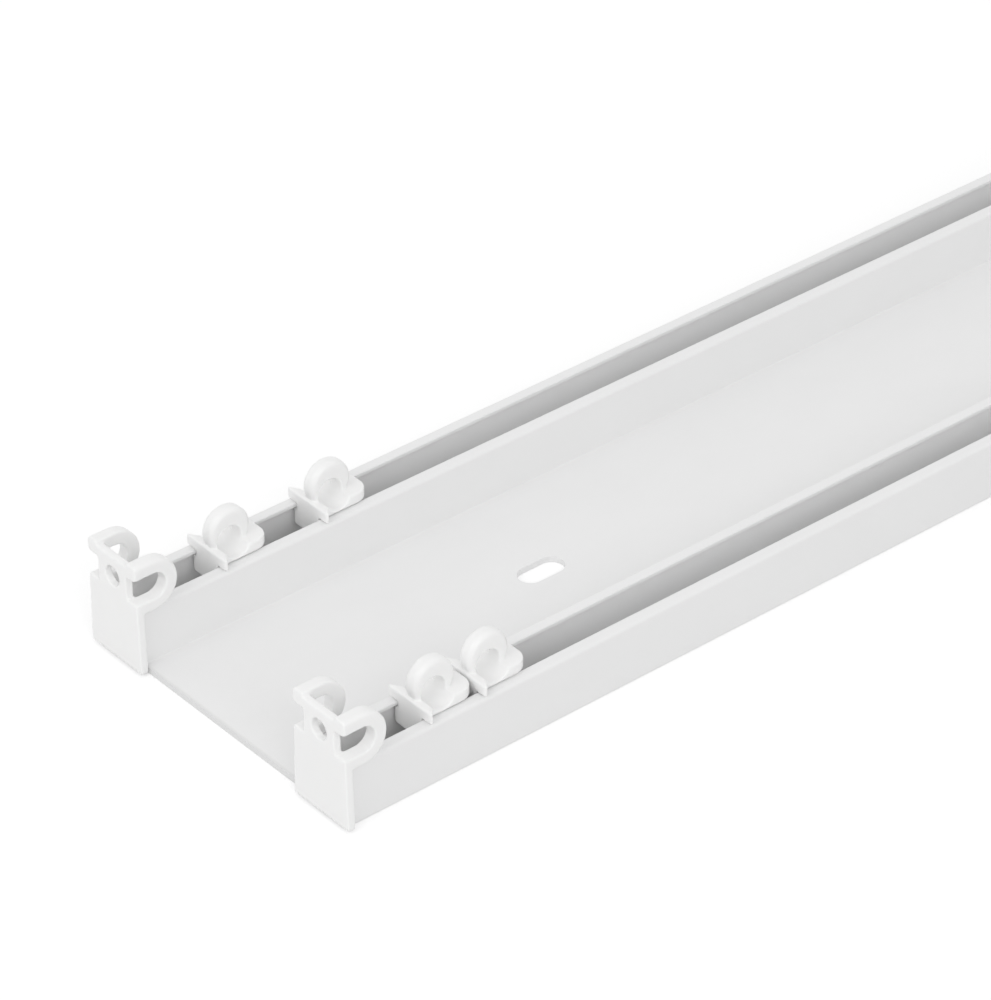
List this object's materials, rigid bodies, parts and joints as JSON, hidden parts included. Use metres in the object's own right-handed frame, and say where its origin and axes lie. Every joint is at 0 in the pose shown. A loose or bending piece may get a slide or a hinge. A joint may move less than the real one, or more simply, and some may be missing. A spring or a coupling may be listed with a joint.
{
  "type": "double curtain track",
  "caption": "Double ceiling curtain track: a flat plate with a slotted channel along each edge, nylon end stops and sliding gliders.",
  "frame": {"origin": "middle of the ceiling face", "axes": "+X along the track towards its far end, +Y across it towards the rear channel, +Z away from the ceiling, out of the slots"},
  "size_m": [0.604, 0.0836, 0.0262],
  "materials": {
    "powder_coated_aluminium": "white powder coat, satin",
    "white_nylon": "moulded, semi-gloss"
  },
  "bodies": {
    "track": {"track": "powder_coated_aluminium", "end_stop_front_near": "white_nylon", "end_stop_rear_near": "white_nylon", "end_stop_front_far": "white_nylon", "end_stop_rear_far": "white_nylon"},
    "glider_rear_1": {"glider_rear_1": "white_nylon"},
    "glider_rear_2": {"glider_rear_2": "white_nylon"},
    "glider_front_1": {"glider_front_1": "white_nylon"},
    "glider_front_2": {"glider_front_2": "white_nylon"}
  },
  "joints": [
    {"name": "glider_front_1_slide", "type": "slide", "parent": "track", "child": "glider_front_1", "axis": [1, 0, 0], "range_m": [-0.0111, 0]},
    {"name": "glider_front_2_slide", "type": "slide", "parent": "track", "child": "glider_front_2", "axis": [1, 0, 0], "range_m": [0, 0.544]},
    {"name": "glider_rear_1_slide", "type": "slide", "parent": "track", "child": "glider_rear_1", "axis": [1, 0, 0], "range_m": [-0.0122, 0.0062]},
    {"name": "glider_rear_2_slide", "type": "slide", "parent": "track", "child": "glider_rear_2", "axis": [1, 0, 0], "range_m": [-0.0062, 0.5306]}
  ]
}
